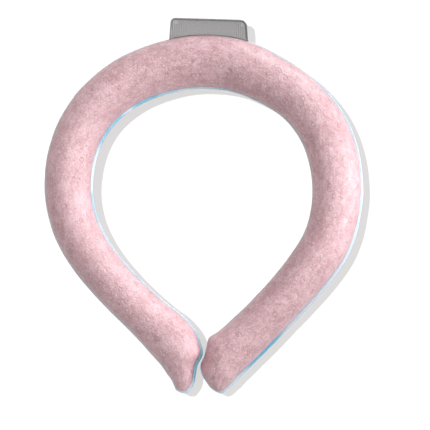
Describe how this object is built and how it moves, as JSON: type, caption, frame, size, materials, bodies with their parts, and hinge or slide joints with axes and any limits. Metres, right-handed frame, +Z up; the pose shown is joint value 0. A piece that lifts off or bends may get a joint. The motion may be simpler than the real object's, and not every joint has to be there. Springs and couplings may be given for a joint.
{
  "type": "cooling neck ring",
  "caption": "Open teardrop ring of a soft film tube filled with cooling wax, worn round the neck, with a flat tab behind the nape.",
  "frame": {"origin": "centre of the ring's box, on the plane that it lies on", "axes": "+Z up through the ring's opening, away from the surface that it lies on; +Y from the free ends to the tab behind the nape; +X across the ring"},
  "size_m": [0.159, 0.188, 0.022],
  "materials": {
    "pink_film": "soft frosted film, cloudy pink, satin sheen",
    "blue_weld": "clear pale blue welded edge",
    "pale_wax": "set wax, pale pink, dull",
    "grey_tab": "satin mid grey with a darker rolled rim"
  },
  "bodies": {
    "root": {"front_film": "pink_film", "back_film": "pink_film", "weld_seam": "blue_weld", "wax_filling": "pale_wax", "nape_tab": "grey_tab"}
  },
  "joints": []
}
